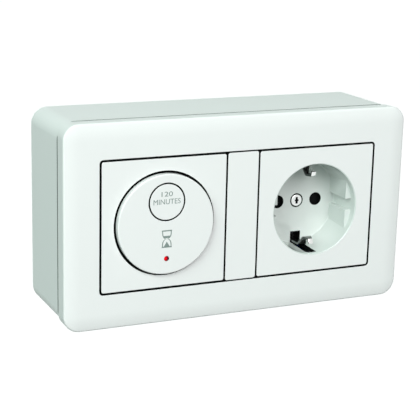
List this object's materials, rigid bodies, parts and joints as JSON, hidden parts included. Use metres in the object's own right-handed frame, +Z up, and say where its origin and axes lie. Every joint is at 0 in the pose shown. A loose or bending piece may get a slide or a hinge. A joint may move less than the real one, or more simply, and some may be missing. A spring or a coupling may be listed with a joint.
{
  "type": "timer switch with socket outlet",
  "caption": "Surface-mounted wall case with a push-button run-on timer beside an earthed round-pin socket outlet, white plastic, with a sprung button and pin-hole shutter.",
  "frame": {"origin": "centre of the wall face, on the plane of the wall", "axes": "+X to the right across the two modules, +Y into the wall (the front faces -Y), +Z up"},
  "size_m": [0.158, 0.0492, 0.087],
  "materials": {
    "white_plastic": "smooth glossy white moulded plastic",
    "grey_plastic": "satin grey moulded plastic",
    "black_plastic": "satin black moulded plastic",
    "red_lens": "clear red light pipe",
    "red_led": "tinted clear epoxy",
    "zinc_steel": "zinc-plated steel",
    "bright_nickel": "nickel-plated, bright",
    "brass": "plain brass",
    "copper": "bare copper",
    "board_green": "green solder mask",
    "yellow_case": "yellow moulded case",
    "can_sleeve": "dark blue shrink sleeve",
    "blue_disc": "blue epoxy dip",
    "brown_case": "brown moulded case",
    "brown_insulation": "brown wire insulation",
    "blue_insulation": "blue wire insulation"
  },
  "bodies": {
    "case": {"surface_box": "white_plastic", "cover_frame": "white_plastic", "filler_strip": "white_plastic", "device_screws": "zinc_steel", "timer_plate": "white_plastic", "timer_disc": "white_plastic", "button_spring": "zinc_steel", "indicator_lens": "red_lens", "timer_lid": "grey_plastic", "timer_ring": "zinc_steel", "housing_screws": "zinc_steel", "timer_housing": "grey_plastic", "timer_board": "board_green", "switch_body": "black_plastic", "indicator_led": "red_led", "control_chip": "black_plastic", "relay": "black_plastic", "film_capacitor": "yellow_case", "electrolytic_capacitor": "can_sleeve", "varistor": "blue_disc", "fuse": "brown_case", "terminal_block": "black_plastic", "timer_clamps": "brass", "timer_clamp_screws": "zinc_steel", "terminal_pins": "brass", "socket_plate": "white_plastic", "centre_screw": "bright_nickel", "socket_ring": "zinc_steel", "ring_rivets": "brass", "socket_base": "black_plastic", "shutter_spring": "zinc_steel", "left_contact": "brass", "right_contact": "brass", "earth_strap": "bright_nickel", "earth_screw": "zinc_steel", "socket_clamps": "brass", "socket_clamp_screws": "zinc_steel", "live_link": "brown_insulation", "neutral_link": "blue_insulation", "link_conductors": "copper"},
    "button": {"timer_button": "white_plastic"},
    "plunger": {"switch_plunger": "grey_plastic"},
    "shutter": {"shutter": "black_plastic"}
  },
  "joints": [
    {"name": "button_press", "type": "slide", "parent": "case", "child": "button", "axis": [0, 1, 0], "range_m": [0, 0.0012], "stiffness_N_per_m": 600, "springref_m": -0.002, "deforming": ["button_spring"]},
    {"name": "switch_press", "type": "slide", "parent": "case", "child": "plunger", "axis": [0, 1, 0], "range_m": [0, 0.0012]},
    {"name": "shutter_turn", "type": "hinge", "parent": "case", "child": "shutter", "pos_m": [0.0355, -0.0254, 0], "axis": [0, 1, 0], "range_deg": [0, 40], "stiffness_Nm_per_rad": 0.01, "springref_deg": -17.19}
  ],
  "couplings": [
    {"joint": "switch_press", "follows": "button_press", "ratio": 1}
  ]
}
